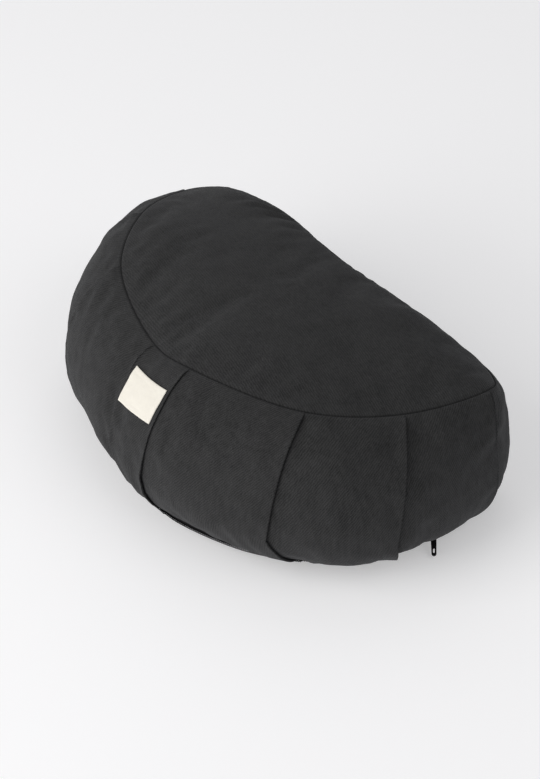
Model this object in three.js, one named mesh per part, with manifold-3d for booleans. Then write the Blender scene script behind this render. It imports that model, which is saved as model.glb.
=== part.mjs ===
// A crescent meditation cushion: one filled cotton cover with a pleated wall, its sewn-on label
// and the zip in its lower seam. Millimetres, +Z up, origin on the floor under the middle of the
// cushion. +X runs along the crescent towards one horn, -Y is the round front with the label.
import * as THREE from "three";
import Module from "manifold-3d";
import { mergeVertices } from "three/addons/utils/BufferGeometryUtils.js";

// Driving sizes of the filled cover.
const CROWN_HEIGHT = 156; // floor to the top of the crown
const BELLY_HEIGHT = 48; // where the wall stands out furthest
const LOWER_SEAM_HEIGHT = 12; // the seam between wall and base, which holds the zip
const UPPER_ARC = THREE.MathUtils.degToRad(74); // slope of the wall at the top seam
const LOWER_ARC = THREE.MathUtils.degToRad(62); // slope of the wall at the lower seam
const CROWN_CENTRE = new THREE.Vector2(0, 22); // middle of the crown and of the base
const BASE_FLAT = 0.74; // share of the base that lies flat on the floor
const BASE_ROLL = 1.5; // how quickly the base rolls up to its seam
const MIDDLE = new THREE.Vector2(-7.05, -2.5); // middle of the outline in the table's own numbers

// Sewing.
const SEAM_DEPTH = 1.8; // how far a seam is drawn in
const SEAM_SLOPE = THREE.MathUtils.degToRad(62);
const TUCK = 2.4; // height of a pleat's folded edge over the panel beside it
const TUCK_REACH = 0.34; // share of a panel over which the fold flattens out
const FOLD_EDGE = 0.012; // half width of a fold's step, in panels
const SHEET_GAP = 0.4; // a sewn-on piece stands this far off the cover

// The top seam from the front pleat round the +X horn, the hollow back and the -X horn.
// x, y, z: the seam. belly, foot: how far the wall's widest line and its lower seam stand
// outside it. fill: fullness of the crown towards that side. fold: which way a pleat's folded
// edge faces, 0 where there is no pleat. lean, hook: how far along the outline, in panels, the
// pleat has run at the belly, and how much further at the lower seam. puff: swell of the panel
// that follows. bow: how far aside the pleat bows between the seam and the belly.
const COLUMNS = ["x", "y", "z", "belly", "foot", "fill", "fold", "lean", "hook", "puff", "bow"];
const STATIONS = [
  [26, -84, 141, 49, 35, 2.6, 1, -0.18, 0.19, 2, 0.01],
  [123, -47, 140, 53, 31, 2.6, 1, -0.13, 0.17, 5, -0.02],
  [167, 17, 132, 49, 20, 2.6, 1, -0.23, 0.05, 0, -0.01],
  [186, 89, 130, 20, -4, 2.6, 1, -0.14, -0.15, 0, -0.03],
  [170, 112, 120, 14, 6, 3.1, 0, 0, 0, 0, 0],
  [106, 111, 133, 18, 4, 4, 0, 0, 0, 0, 0],
  [0, 99, 146, 14, 2, 4.2, 0, 0, 0, 0, 0],
  [-103, 111, 140, 14, 4, 3.8, 0, 0, 0, 0, 0],
  [-171, 105, 128, 16, 6, 3, 0, 0, 0, 0, 0],
  [-194, 81, 122, 31, 8, 2.6, -1, 0.1, 0, 3, 0.01],
  [-169, 13, 141, 44, 25, 2.6, -1, 0.19, 0, 3, 0.01],
  [-122, -44, 138, 48, 34, 2.6, -1, 0.06, 0.39, 3, 0.05],
  [-26, -81, 132, 45, 30, 2.6, -1, 0.14, 0.42, 1, 0.04],
].map((row) => Object.fromEntries(COLUMNS.map((column, i) => [column, row[i]])));

// How each part of the cover is divided.
const CROWN_RINGS = [0.16, 0.32, 0.48, 0.62, 0.74, 0.84, 0.92, 0.97];
const WALL_RINGS = [0.06, 0.14, 0.27, 0.41, 0.56, 0.7, 0.85, 1, 1.2, 1.4, 1.6, 1.8, 1.92];
const BASE_RINGS = [0.97, 0.9, 0.82, BASE_FLAT, 0.4];
const COLUMN_PITCH = 11; // widest column of faces along the seam

// The label: its thickness, and its corners as places along the outline and down the wall.
const LABEL = { thickness: 1, lengthSteps: 9, widthSteps: 7 };
const LABEL_CORNERS = {
  upperLeft: new THREE.Vector2(12.09, 0.25),
  upperRight: new THREE.Vector2(12.95, 0.26),
  lowerRight: new THREE.Vector2(12.94, 0.55),
  lowerLeft: new THREE.Vector2(12.05, 0.58),
};

// The zip: where its coil starts, where the slider stands, and the sizes of its pieces.
const COIL = { start: -0.3, width: 4.4, height: 1.8, steps: 56 };
const SLIDER = { at: 2.58, length: 9, width: 7, height: 3, nose: 2, bevel: 0.6, clear: 0.8 };
const BAIL = {
  width: 1.8, rise: 3.4, opening: 2.2, half: 3.2, bar: 1.2, sunk: 0.4, shoulder: 1.4, corner: 0.6,
};
const PULLER = { tip: new THREE.Vector3(205, 21.5, 3), thickness: 1.2, head: 2.5, foot: 2, bar: 0.6 };
const WINDOW = { half: 1.4, end: 4.6, shoulder: 1 };
const SLOT = { half: 0.7, length: 3, fromTip: 3.4 };
const SAME_POINT = 1e-4;

const seamCurve = new THREE.CatmullRomCurve3(
  STATIONS.map((s) => new THREE.Vector3(s.x, s.y, s.z)), true, "centripetal");
const shapeCurve = new THREE.CatmullRomCurve3(
  STATIONS.map((s) => new THREE.Vector3(s.belly, s.foot, s.fill)), true, "catmullrom");
const leanCurve = new THREE.CatmullRomCurve3(
  STATIONS.map((s) => new THREE.Vector3(s.lean, s.hook, s.bow)), true, "catmullrom");

const wrapped = (t) => THREE.MathUtils.euclideanModulo(t, STATIONS.length);
const along = (curve, t) => curve.getPoint(wrapped(t) / STATIONS.length);

// The level direction out of the outline at a place along it.
function outward(t) {
  const step = 1e-3;
  const run = along(seamCurve, t + step).sub(along(seamCurve, t - step));
  return new THREE.Vector3(run.y, -run.x, 0).normalize();
}

// Height of a pleat's folded edge over the plain wall: full at the fold, gone along the panel.
function tuckAt(t) {
  const place = wrapped(t);
  let height = 0;
  STATIONS.forEach((station, i) => {
    if (station.fold === 0) return;
    let past = place - i;
    if (past > STATIONS.length / 2) past -= STATIONS.length;
    const inside = -past * station.fold;
    if (inside > 0 && inside < TUCK_REACH) height += TUCK * (1 - inside / TUCK_REACH) ** 2;
  });
  return height;
}

// Swell of a panel between its two pleats.
function puffAt(t) {
  const place = wrapped(t);
  return STATIONS[Math.floor(place)].puff * Math.sin(Math.PI * (place % 1)) ** 2;
}

// A point of the wall: down is 0 at the top seam, 1 at the belly and 2 at the lower seam.
function wallPoint(t, down, lift = 0) {
  const lean = along(leanCurve, t);
  const place = t + lean.x * Math.min(down, 1) + lean.y * Math.max(down - 1, 0)
    + lean.z * Math.sin(Math.PI * Math.min(down, 1));
  const seam = along(seamCurve, place);
  const { x: belly, y: foot } = along(shapeCurve, place);
  const out = outward(place);
  let slope;
  let stand;
  let height;
  if (down <= 1) {
    slope = UPPER_ARC * (1 - down);
    stand = (belly * (Math.cos(slope) - Math.cos(UPPER_ARC))) / (1 - Math.cos(UPPER_ARC));
    height = BELLY_HEIGHT + ((seam.z - BELLY_HEIGHT) * Math.sin(slope)) / Math.sin(UPPER_ARC);
  } else {
    slope = LOWER_ARC * (1 - down);
    stand = belly - ((belly - foot) * (1 - Math.cos(slope))) / (1 - Math.cos(LOWER_ARC));
    height = BELLY_HEIGHT + ((BELLY_HEIGHT - LOWER_SEAM_HEIGHT) * Math.sin(slope)) / Math.sin(LOWER_ARC);
  }
  const sewn = THREE.MathUtils.smoothstep(down, 0, 0.16)
    * (1 - 0.6 * THREE.MathUtils.smoothstep(down, 1.6, 2));
  const raise = (tuckAt(t) + puffAt(t) * Math.sin((Math.PI / 2) * Math.min(down, 1))) * sewn + lift;
  const normal = out.clone().multiplyScalar(Math.cos(slope)).setZ(Math.sin(slope));
  return new THREE.Vector3(seam.x, seam.y, height)
    .addScaledVector(out, stand).addScaledVector(normal, raise);
}

function seamPoint(t) {
  const inward = outward(t).multiplyScalar(-Math.cos(SEAM_SLOPE)).setZ(-Math.sin(SEAM_SLOPE));
  return along(seamCurve, t).addScaledVector(inward, SEAM_DEPTH);
}

// A point of the crown: share is 0 at its middle and 1 at the top seam.
function crownPoint(t, share) {
  const seam = along(seamCurve, t);
  const height = CROWN_HEIGHT - (CROWN_HEIGHT - seam.z) * share ** along(shapeCurve, t).z;
  return new THREE.Vector3(
    THREE.MathUtils.lerp(CROWN_CENTRE.x, seam.x, share),
    THREE.MathUtils.lerp(CROWN_CENTRE.y, seam.y, share), height);
}

// The lower seam, drawn in, and the frame that a piece sewn along it takes: out of the cover,
// and across the seam towards the base.
function lowerSeam(t) {
  const at = wallPoint(t, 2);
  const out = outward(t + along(leanCurve, t).x + along(leanCurve, t).y);
  const normal = out.clone().multiplyScalar(Math.cos(SEAM_SLOPE)).setZ(-Math.sin(SEAM_SLOPE));
  const across = out.clone().multiplyScalar(-Math.sin(SEAM_SLOPE)).setZ(-Math.cos(SEAM_SLOPE));
  return { at, normal, across };
}

// A point of the base: share is 1 at the lower seam and 0 at its middle.
function basePoint(t, share) {
  const foot = wallPoint(t, 2);
  const rolled = Math.max((share - BASE_FLAT) / (1 - BASE_FLAT), 0) ** BASE_ROLL;
  return new THREE.Vector3(
    THREE.MathUtils.lerp(CROWN_CENTRE.x, foot.x, share),
    THREE.MathUtils.lerp(CROWN_CENTRE.y, foot.y, share), foot.z * rolled);
}

// Places of the columns of faces: even along each panel, with a close pair at each pleat.
function columnPlaces() {
  const places = [];
  STATIONS.forEach((station, i) => {
    const next = STATIONS[(i + 1) % STATIONS.length];
    const span = Math.hypot(next.x - station.x, next.y - station.y);
    const count = Math.max(2, Math.ceil(span / COLUMN_PITCH));
    const start = station.fold === 0 ? i : i + FOLD_EDGE;
    const end = next.fold === 0 ? i + 1 : i + 1 - FOLD_EDGE;
    for (let k = 0; k <= count; k += 1) {
      const shared = k === count && next.fold === 0;
      if (!shared) places.push(THREE.MathUtils.lerp(start, end, k / count));
    }
  });
  return places;
}

// The filled cover, closed from the middle of the crown to the middle of the base.
function coverGeometry() {
  const places = columnPlaces();
  const rings = [
    ...CROWN_RINGS.map((share) => places.map((t) => crownPoint(t, share))),
    places.map((t) => seamPoint(t)),
    ...WALL_RINGS.map((down) => places.map((t) => wallPoint(t, down))),
    places.map((t) => lowerSeam(t).at.addScaledVector(lowerSeam(t).normal, -SEAM_DEPTH)),
    ...BASE_RINGS.map((share) => places.map((t) => basePoint(t, share))),
  ];
  const count = places.length;
  const points = rings.flat();
  const crown = points.push(new THREE.Vector3(CROWN_CENTRE.x, CROWN_CENTRE.y, CROWN_HEIGHT)) - 1;
  const base = points.push(new THREE.Vector3(CROWN_CENTRE.x, CROWN_CENTRE.y, 0)) - 1;
  const last = (rings.length - 1) * count;
  const faces = [];
  for (let k = 0; k < count; k += 1) {
    const next = (k + 1) % count;
    faces.push(crown, k, next);
    faces.push(base, last + next, last + k);
    for (let r = 0; r < last; r += count) {
      faces.push(r + k, r + count + k, r + next);
      faces.push(r + next, r + count + k, r + count + next);
    }
  }
  const geometry = new THREE.BufferGeometry().setFromPoints(points);
  geometry.setIndex(faces);
  return geometry;
}

// Joins the shared corners of a geometry, so that only its positions are left.
function positionsOnly(geometry) {
  geometry.deleteAttribute("normal");
  geometry.deleteAttribute("uv");
  return mergeVertices(geometry, SAME_POINT);
}

// A thin piece bent onto the cover: place turns a point of a unit box into its point there.
function bentPiece(lengthSteps, widthSteps, place) {
  const geometry = positionsOnly(new THREE.BoxGeometry(1, 1, 1, lengthSteps, widthSteps, 1));
  const corners = geometry.attributes.position;
  for (let i = 0; i < corners.count; i += 1) {
    const at = place(corners.getX(i) + 0.5, corners.getY(i), corners.getZ(i) + 0.5);
    corners.setXYZ(i, at.x, at.y, at.z);
  }
  return geometry;
}

function labelGeometry() {
  const { upperLeft, upperRight, lowerRight, lowerLeft } = LABEL_CORNERS;
  return bentPiece(LABEL.lengthSteps, LABEL.widthSteps, (run, rise, layer) => {
    const upper = upperLeft.clone().lerp(upperRight, run);
    const spot = lowerLeft.clone().lerp(lowerRight, run).lerp(upper, rise + 0.5);
    return wallPoint(spot.x, spot.y, SHEET_GAP + LABEL.thickness * layer);
  });
}

function coilGeometry(end) {
  return bentPiece(COIL.steps, 2, (run, width, layer) => {
    const { at, normal, across } = lowerSeam(THREE.MathUtils.lerp(COIL.start, end, run));
    const height = COIL.height * (1 - 2 * width * width);
    return at.addScaledVector(normal, SHEET_GAP + height * layer)
      .addScaledVector(across, -width * COIL.width);
  });
}

const wasm = await Module();
wasm.setup();

function solid(geometry) {
  return new wasm.Manifold(new wasm.Mesh({
    numProp: 3,
    vertProperties: new Float32Array(geometry.attributes.position.array),
    triVerts: new Uint32Array(geometry.index.array),
  }));
}

function geometryOf(manifold) {
  const { vertProperties, triVerts } = manifold.getMesh();
  const geometry = new THREE.BufferGeometry();
  geometry.setAttribute("position", new THREE.BufferAttribute(vertProperties, 3));
  geometry.setIndex(new THREE.BufferAttribute(triVerts, 1));
  return geometry;
}

// The slider in its own frame: a rounded body on the XY plane and a bail that stands on it, turned
// to the side that the puller hangs to.
function sliderGeometry(bailTurn) {
  const outline = new THREE.Shape();
  const { nose, bevel } = SLIDER;
  outline.moveTo(-SLIDER.length / 2, -nose);
  outline.quadraticCurveTo(-SLIDER.length / 2, -SLIDER.width / 2, 0, -SLIDER.width / 2);
  outline.quadraticCurveTo(SLIDER.length / 2, -SLIDER.width / 2, SLIDER.length / 2, -nose);
  outline.lineTo(SLIDER.length / 2, nose);
  outline.quadraticCurveTo(SLIDER.length / 2, SLIDER.width / 2, 0, SLIDER.width / 2);
  outline.quadraticCurveTo(-SLIDER.length / 2, SLIDER.width / 2, -SLIDER.length / 2, nose);
  outline.closePath();
  const body = new THREE.ExtrudeGeometry(outline, {
    depth: SLIDER.height - 2 * bevel, bevelThickness: bevel, bevelSize: bevel,
    bevelOffset: -bevel, bevelSegments: 2, curveSegments: 5,
  }).translate(0, 0, bevel);
  const arch = new THREE.Shape();
  const inner = BAIL.half - BAIL.bar;
  arch.moveTo(-BAIL.half, -BAIL.sunk);
  arch.lineTo(-BAIL.half, BAIL.rise - BAIL.shoulder);
  arch.quadraticCurveTo(-BAIL.half, BAIL.rise, 0, BAIL.rise);
  arch.quadraticCurveTo(BAIL.half, BAIL.rise, BAIL.half, BAIL.rise - BAIL.shoulder);
  arch.lineTo(BAIL.half, -BAIL.sunk);
  arch.lineTo(inner, -BAIL.sunk);
  arch.lineTo(inner, BAIL.opening - BAIL.corner);
  arch.quadraticCurveTo(inner, BAIL.opening, 0, BAIL.opening);
  arch.quadraticCurveTo(-inner, BAIL.opening, -inner, BAIL.opening - BAIL.corner);
  arch.lineTo(-inner, -BAIL.sunk);
  arch.closePath();
  const bail = new THREE.ExtrudeGeometry(arch, {
    depth: BAIL.width, bevelEnabled: false, curveSegments: 5,
  }).translate(0, 0, -BAIL.width / 2).rotateX(Math.PI / 2).rotateZ(bailTurn)
    .translate(0, 0, SLIDER.height);
  return geometryOf(solid(positionsOnly(body)).add(solid(positionsOnly(bail))));
}

// The puller in its own frame: it runs along X from its cross bar, tapers, and ends round.
function pullerGeometry(length) {
  const tab = new THREE.Shape();
  tab.moveTo(-PULLER.bar, -PULLER.head);
  tab.lineTo(WINDOW.end + WINDOW.shoulder, -PULLER.head);
  tab.lineTo(length - PULLER.foot, -PULLER.foot);
  tab.absarc(length - PULLER.foot, 0, PULLER.foot, -Math.PI / 2, Math.PI / 2, false);
  tab.lineTo(WINDOW.end + WINDOW.shoulder, PULLER.head);
  tab.lineTo(-PULLER.bar, PULLER.head);
  tab.closePath();
  const window = new THREE.Path();
  window.moveTo(PULLER.bar, -WINDOW.half);
  window.lineTo(PULLER.bar, WINDOW.half);
  window.lineTo(WINDOW.end, WINDOW.half);
  window.lineTo(WINDOW.end, -WINDOW.half);
  window.closePath();
  const slot = new THREE.Path();
  const slotEnd = length - SLOT.fromTip;
  slot.absarc(slotEnd, 0, SLOT.half, Math.PI / 2, -Math.PI / 2, true);
  slot.absarc(slotEnd - SLOT.length, 0, SLOT.half, -Math.PI / 2, -Math.PI * 1.5, true);
  slot.closePath();
  tab.holes.push(window, slot);
  return new THREE.ExtrudeGeometry(tab, {
    depth: PULLER.thickness, bevelEnabled: false, curveSegments: 6,
  }).translate(0, 0, -PULLER.thickness / 2);
}

// Turns a mesh's own X, Y and Z to three directions and puts its origin at a point.
function seat(mesh, xAxis, yAxis, zAxis, at) {
  mesh.quaternion.setFromRotationMatrix(new THREE.Matrix4().makeBasis(xAxis, yAxis, zAxis));
  mesh.position.copy(at);
  return mesh;
}

const cotton = new THREE.MeshStandardMaterial({ color: 0x363637, roughness: 0.95, metalness: 0 });
const labelCloth = new THREE.MeshStandardMaterial({ color: 0xe9e4da, roughness: 0.9, metalness: 0 });
const coilPlastic = new THREE.MeshStandardMaterial({ color: 0x1c1c1e, roughness: 0.5, metalness: 0 });
const blackMetal = new THREE.MeshStandardMaterial({ color: 0x121214, roughness: 0.25, metalness: 0.6 });

function named(name, geometry, material) {
  const mesh = new THREE.Mesh(geometry, material);
  mesh.name = name;
  return mesh;
}

const cushion = new THREE.Group();
cushion.position.set(-MIDDLE.x, -MIDDLE.y, 0);
cushion.add(named("cover", coverGeometry(), cotton));
cushion.add(named("label", labelGeometry(), labelCloth));

// The slider closes the zip at its end, and the coil stops just short of it.
const sliderSeam = lowerSeam(SLIDER.at);
const zipRun = new THREE.Vector3().crossVectors(sliderSeam.across, sliderSeam.normal).normalize();
const panelLength = lowerSeam(SLIDER.at + 0.05).at.distanceTo(lowerSeam(SLIDER.at - 0.05).at) / 0.1;
const coilEnd = SLIDER.at - (SLIDER.length / 2 + SLIDER.clear) / panelLength;
cushion.add(named("zip_coil", coilGeometry(coilEnd), coilPlastic));

// The puller hangs by its cross bar inside the bail, with its tip just clear of the floor.
const sliderFoot = sliderSeam.at.clone().addScaledVector(sliderSeam.normal, SHEET_GAP);
const crossBar = sliderFoot.clone()
  .addScaledVector(sliderSeam.normal, SLIDER.height + BAIL.opening / 2);
const hang = PULLER.tip.clone().sub(crossBar);
const hangLength = hang.length();
hang.normalize();
const pullerWidth = new THREE.Vector3().crossVectors(sliderSeam.normal, hang).normalize();
const pullerFace = new THREE.Vector3().crossVectors(hang, pullerWidth);
const bailTurn = Math.atan2(hang.dot(sliderSeam.across), hang.dot(zipRun));
cushion.add(seat(named("zip_slider", sliderGeometry(bailTurn), blackMetal),
  zipRun, sliderSeam.across, sliderSeam.normal, sliderFoot));
cushion.add(seat(named("zip_puller", pullerGeometry(hangLength), blackMetal),
  hang, pullerWidth, pullerFace, crossBar));

export default cushion;
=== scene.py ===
"""A crescent meditation cushion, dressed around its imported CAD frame.

The cover is one padded piece. Its shape comes from the same named sizes as the CAD solid: a top seam
through a few stations, a crown above it, a rounded wall below it and a flat base. The wall's cloth is
folded over at each pleat, drawn in at each seam, and swollen by a cloth simulation of the filling.
A place on the wall is t and down: t counts the stations round the outline, and down is 0 at the top
seam, 1 at the belly and 2 at the lower seam. Sizes in the tables are millimetres, and all that goes to
Blender is in metres.
"""

import math

import bmesh
import bpy
import numpy as np
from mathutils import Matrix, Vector, kdtree


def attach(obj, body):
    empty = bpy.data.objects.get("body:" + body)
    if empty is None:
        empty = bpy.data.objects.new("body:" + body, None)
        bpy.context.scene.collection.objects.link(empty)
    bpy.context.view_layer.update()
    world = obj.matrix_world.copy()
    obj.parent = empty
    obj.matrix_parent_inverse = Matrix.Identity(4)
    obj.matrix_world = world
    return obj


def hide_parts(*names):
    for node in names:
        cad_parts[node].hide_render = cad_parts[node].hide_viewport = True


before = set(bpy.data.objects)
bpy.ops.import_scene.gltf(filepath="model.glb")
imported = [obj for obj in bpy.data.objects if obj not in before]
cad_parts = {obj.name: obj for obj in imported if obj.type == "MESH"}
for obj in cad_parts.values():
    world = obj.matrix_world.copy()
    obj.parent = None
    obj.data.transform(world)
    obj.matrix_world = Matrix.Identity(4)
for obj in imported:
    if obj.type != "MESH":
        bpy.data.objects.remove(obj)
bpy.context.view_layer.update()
bpy.ops.object.select_all(action="DESELECT")

MM = 0.001

# Sizes of the filled cover, as in the CAD source. The crown and the base close at CROWN_CENTRE, and
# MIDDLE is where the frame's origin lies among the tables' places. BASE_FLAT is the share of the base
# that lies flat, and BASE_ROLL how softly it rolls up from there to the lower seam.
CROWN_HEIGHT = 156.0
BELLY_HEIGHT = 48.0
LOWER_SEAM_HEIGHT = 12.0
UPPER_ARC = math.radians(74)
LOWER_ARC = math.radians(62)
SEAM_SLOPE = math.radians(62)
CROWN_CENTRE = np.array([0.0, 22.0])
MIDDLE = np.array([-7.05, -2.5, 0.0])
BASE_FLAT = 0.74
BASE_ROLL = 1.5

# Height of a pleat's folded edge over the plain wall, and how far into its panel, counted in stations,
# that height dies away. Beside the seams it is sewn flat: the shares of the wall where that ends and
# starts, and how much of the height is lost at the lower seam.
TUCK = 2.4
TUCK_REACH = 0.34
PLEAT_RISEN = 0.09
FLATTENED_FROM = 1.6
FOOT_FLATTENED = 0.6

# The wall's cloth from the top seam to the belly, and from there to the lower seam.
UPPER_RUN = 106.0
LOWER_RUN = 42.0

# The top seam, from the front pleat round the +X horn, the hollow back and the -X horn.
# x, y, z: the seam. belly, foot: how far the wall's widest line and its lower seam stand outside
# it. fill: fullness of the crown. fold: which way a pleat's folded edge faces, 0 for no pleat.
# lean, hook: how far the pleat has run along the outline at the belly, and below it. puff: swell
# of the panel that follows. bow: how far the pleat bows aside between the seam and the belly.
# Five numbers, of belly and puff, differ from the CAD source's by up to 2.5 mm, after the photograph.
STATIONS = np.array([
    [26, -84, 141, 49, 35, 2.6, 1, -0.18, 0.19, 0, 0.01],
    [123, -47, 140, 53, 31, 2.6, 1, -0.13, 0.17, 3.5, -0.02],
    [167, 17, 132, 51, 20, 2.6, 1, -0.23, 0.05, 0, -0.01],
    [186, 89, 130, 20, -4, 2.6, 1, -0.14, -0.15, 0, -0.03],
    [170, 112, 120, 14, 6, 3.1, 0, 0, 0, 0, 0],
    [106, 111, 133, 18, 4, 4, 0, 0, 0, 0, 0],
    [0, 99, 146, 14, 2, 4.2, 0, 0, 0, 0, 0],
    [-103, 111, 140, 14, 4, 3.8, 0, 0, 0, 0, 0],
    [-171, 105, 128, 16, 6, 3, 0, 0, 0, 0, 0],
    [-194, 81, 122, 31, 8, 2.6, -1, 0.1, 0, 3, 0.01],
    [-169, 13, 141, 44, 25, 2.6, -1, 0.19, 0, 1, 0.01],
    [-122, -44, 138, 50.5, 34, 2.6, -1, 0.06, 0.39, 3, 0.05],
    [-26, -81, 132, 45, 30, 2.6, -1, 0.14, 0.42, 1, 0.04],
], float)
COUNT = len(STATIONS)
PLACE = STATIONS[:, 0:3]
SHAPE = STATIONS[:, 3:6]
FOLD = STATIONS[:, 6].astype(int)
LEAN = STATIONS[:, 7:9]
PUFF = STATIONS[:, 9]
BOW = STATIONS[:, 10:11]
PLEATS = [i for i in range(COUNT) if FOLD[i] != 0]

# Section through a pleat: along is towards the raised panel, height is a share of the tuck, and
# flat is where the same point lies once the pleat is caught in a seam.
FOLD_SECTION = np.array([
    [3.4, 1.00, 3.4],
    [2.5, 1.00, 2.6],
    [1.7, 1.00, 2.0],
    [1.0, 1.00, 1.5],
    [0.4, 0.98, 1.1],
    [0.05, 0.84, 0.75],
    [-0.05, 0.62, 0.5],
    [0.15, 0.42, 0.3],
    [0.6, 0.30, 0.1],
    [1.5, 0.24, 0.0],
    [2.6, 0.20, -0.1],
    [3.3, 0.13, -0.25],
    [3.5, 0.05, -0.4],
    [3.1, -0.02, -0.6],
    [2.1, -0.05, -0.85],
    [0.8, -0.07, -1.2],
    [-0.7, -0.06, -1.6],
    [-2.0, -0.03, -2.2],
    [-3.4, 0.0, -3.2],
])
ALONG, SHARE, FLAT = FOLD_SECTION.T
UPPER_ROWS = 4  # rows of the section that lie on the raised panel
DEEPEST = 12  # the row inside the fold where the cloth turns back

# Painted shade of each row of the section, by how deep in the fold it lies, and painted highlight on its
# edge, both from 0 to 1.
SHADE = np.array([0, 0, 0, 0, 0.05, 0.2, 0.5, 0.85, 1, 1, 1, 1, 1, 1, 0.9, 0.6, 0.25, 0.05, 0])
EDGE_HIGHLIGHT_SHARE = np.array([0.1, 0.25, 0.5, 0.8, 1, 0.7, 0.1, 0, 0, 0, 0, 0, 0, 0, 0, 0, 0, 0, 0])

# Where down the wall a fold is fully laid over, as cloth and as painted shade, and where it starts to be
# caught in the lower seam.
FOLD_LAID = 0.045
SHADE_LAID = 0.03
FOLD_CAUGHT = 1.93

# How strong the painted highlight along a pleat's edge is, for those where that is more than a trace.
EDGE_LIGHT = {3: 0.42, 12: 0.6}
EDGE_TRACE = 0.15
# Down to this place on the wall a pleat's edge has a painted shade line instead, this many times as
# strong. Past it the painted shade fades over the last length.
EDGE_DARK = {3: 3.0, 12: 0.28}
EDGE_DARKER = 4.5
EDGE_DARK_FADE = 0.08

# How a pleat gapes towards the lower seam: extra lift of its lip, where down the wall that starts
# and is full, and where it closes again. TUCKS holds the pleats that have a height of their own.
GAPE = {
    0: (1.3, 0.7, 1.05, 1.35, 1.85),
    1: (0.5, 1.25, 1.6, 1.75, 1.98),
    2: (2.2, 1.0, 1.4, 1.75, 2.0),
}
TUCKS = {0: 1.7, 3: 3.4, 9: 1.0}

# Sewing: how far a seam is drawn in, how much of that is a soft pillow beside it, and the half widths
# of the groove and of the pillow.
SEAM_DEPTH = 1.7
PILLOW_DEPTH = 0.6
SEAM_GROOVE = 0.8
SEAM_PILLOW = 6.0

# Half widths of the painted shade in the top and in the lower seam, and place and half width of the
# painted highlight on the lip beside the top seam.
TOP_SHADE = 0.7
FOOT_SHADE = 1.2
LIP_PLACE = 2.4
LIP_WIDTH = 1.5

# Unevenness of the cloth in millimetres: long swells, short ripples, and the gathers along a seam,
# which die away over the last length.
WALL_SWELL = 0.75
WALL_RIPPLE = 0.16
CROWN_SWELL = 0.8
CROWN_RIPPLE = 0.14
TOP_GATHERS = 0.3
FOOT_GATHERS = 0.25
CROWN_GATHERS = 0.2
GATHER_RUN = 9.0

# How far from the top seam the swells, the ripples and the gathers are full, between which distances
# from the lower seam the swells are, how far the seam's slope reaches into the crown, and how high the
# base's rolled edge is where it is drawn in fully.
WALL_SWELL_FULL = 22.0
CROWN_SWELL_FULL = 30.0
RIPPLE_FULL = 10.0
GATHER_FULL = 3.0
FOOT_SWELL_FULL = (-4.0, 16.0)
SEAM_SLOPE_REACH = 5.0
ROLLED_EDGE = 6.0

# The label: its size, and t and down of its corners, from the upper left one round. Its underside lies
# a little off the cover, its hem is turned under, and its edge is rounded down.
LABEL_WIDTH = 42.0
LABEL_HEIGHT = 33.0
LABEL_CORNERS = np.array([[12.09, 0.25], [12.95, 0.26], [12.94, 0.55], [12.05, 0.58]])
LABEL_COLUMNS = 56
LABEL_ROWS = 44
LABEL_GAP = 0.4
LABEL_THICKNESS = 0.75
LABEL_WAVE = 0.12
HEM_THICKNESS = 0.25
HEM_WIDTH = 3.0
HEM_SLOPE = 1.5
EDGE_DROP = 0.35
EDGE_ROUND = 0.6

# The zip: t at its ends, how far it stands out of the seam, where in t it starts to come out further,
# is out, goes back and is in again, by how much, and the sizes of its winding strand and of its tape.
COIL_START = -0.3
COIL_END = 2.5
COIL_STAND = 0.6
COIL_SHOWN = (-0.1, 0.2, 0.6, 0.95)
COIL_RISE = 1.7
COIL_WIDTH = 3.8
COIL_HEIGHT = 1.7
COIL_PITCH = 1.8
COIL_STEPS = 10
STRAND_RADIUS = 0.42
TAPE_WIDTH = 5.2
TAPE_THICKNESS = 0.3
TAPE_FOLD = 1.4
TAPE_FOOT = -1.3

# Rounding of the slider's and the puller's edges.
SLIDER_ROUNDING = 0.25
PULLER_ROUNDING = 0.3

# The cloth simulation of the filling: the mesh of its coarse cloth, the pressure, the spare cloth and
# the frames, the most that it moves the cover, how many coarse points move one of the cover's, and how
# far round a point the mean swelling is taken, which is left out.
VOXEL = 6.0
FILLING_PRESSURE = 4.0
SPARE_CLOTH = 0.02
SWELL_FRAMES = 20
SWELL_LIMIT = 1.6
SWELL_NEAR = 6
SWELL_REACH = 36.0
CLOTH_QUALITY = 6
CLOTH_MASS = 0.3
CLOTH_STIFFNESS = 20
CLOTH_BENDING = 0.3

# How far from a seam the cloth is held, and how firmly it is held at a fold.
HELD_REACH = 16.0
FOLD_HELD = 0.85

# Twill lines: their direction on the crown, and on the wall measured from the outline. On each panel
# of the wall the cloth is shifted, so that its lines don't run on from panel to panel.
CROWN_TWILL = math.radians(-10)
WALL_TWILL = math.radians(58)
PANEL_SHIFT = 37.0

# Colours.
CHARCOAL = (0.0274, 0.0273, 0.0277)
CREAM = (0.80, 0.765, 0.69)
NYLON_BLACK = (0.004, 0.004, 0.005)
ENAMEL_BLACK = (0.008, 0.008, 0.009)
PALE_PAPER = (0.80, 0.80, 0.815)

# The weaves of the two cloths, as the woven_cloth group takes them.
TWILL_WEAVE = {
    "Ribs per metre": 520.0, "Threads per metre": 900.0,
    "Rib share": 0.5, "Thread share": 0.15, "Fuzz share": 0.45,
}
LABEL_WEAVE = {
    "Ribs per metre": 1500.0, "Threads per metre": 1500.0,
    "Rib share": 0.5, "Thread share": 0.5, "Fuzz share": 0.3,
}

# How much of the twill's tone comes from its threads, mottle, slubs and clouds, from the painted
# highlight and shade line along the folds' edges, and from the painted shade deep in the folds and
# seams.
THREAD_TONE = 0.44
MOTTLE_TONE = 0.16
SLUB_TONE = 0.15
CLOUD_TONE = 0.05
PAINTED_EDGE_TONE = 0.3
PAINTED_SHADE_TONE = -0.7
# The same for the label's threads and faint stains.
LABEL_THREAD_TONE = 0.03
STAIN_TONE = 0.02

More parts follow.
